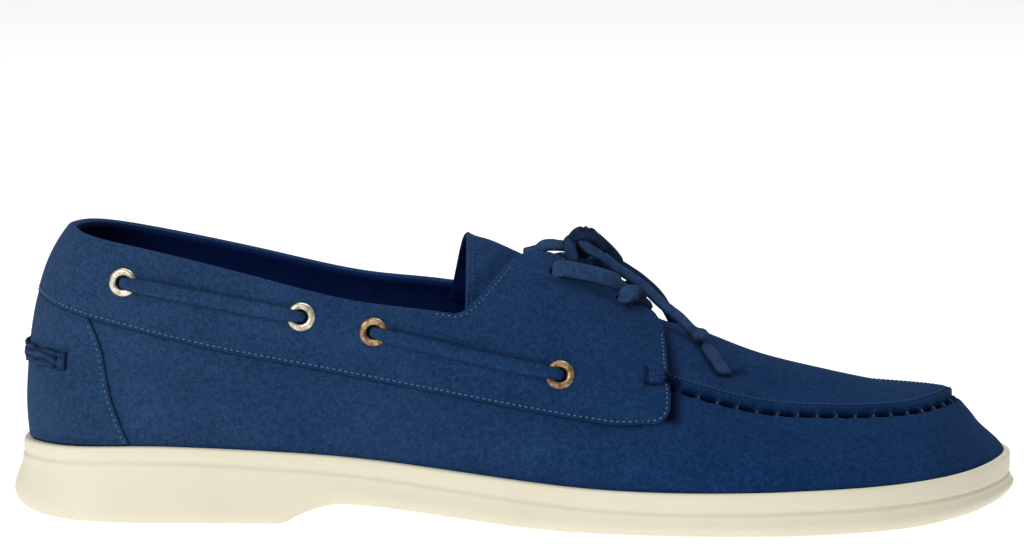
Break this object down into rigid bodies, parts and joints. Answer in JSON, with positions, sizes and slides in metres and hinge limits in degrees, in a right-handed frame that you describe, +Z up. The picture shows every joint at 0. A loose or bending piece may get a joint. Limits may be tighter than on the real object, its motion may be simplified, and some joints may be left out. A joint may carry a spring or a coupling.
{
  "type": "boat shoe",
  "caption": "Right boat shoe in blue suede with a moccasin toe, metal collar eyelets with a side lace, a tied bow and a cream rubber sole.",
  "frame": {"origin": "on the floor under the middle of the shoe's length and width", "axes": "+X from the heel to the toe, +Y to the inner (medial) side, +Z up"},
  "size_m": [0.2978, 0.1053, 0.0834],
  "materials": {
    "suede": "napped suede",
    "lining": "matte",
    "rubber": "matte",
    "eyelet_metal": "polished",
    "lace": "waxed leather thong"
  },
  "bodies": {
    "root": {"outsole": "rubber", "insole": "lining", "upper": "suede", "tongue": "suede", "saddle": "suede", "heel_counter": "suede", "heel_tab": "suede", "eyelet_lateral_1": "eyelet_metal", "eyelet_lateral_2": "eyelet_metal", "eyelet_lateral_3": "eyelet_metal", "eyelet_lateral_4": "eyelet_metal", "side_lace_lateral_rear": "lace", "side_lace_lateral_front": "lace", "eyelet_medial_1": "eyelet_metal", "eyelet_medial_2": "eyelet_metal", "eyelet_medial_3": "eyelet_metal", "eyelet_medial_4": "eyelet_metal", "side_lace_medial_rear": "lace", "side_lace_medial_front": "lace", "lace_bar": "lace", "lace_crossing": "lace", "lace_knot": "lace", "lace_loop": "lace", "lace_end_lateral": "lace", "lace_end_medial": "lace"}
  },
  "joints": []
}
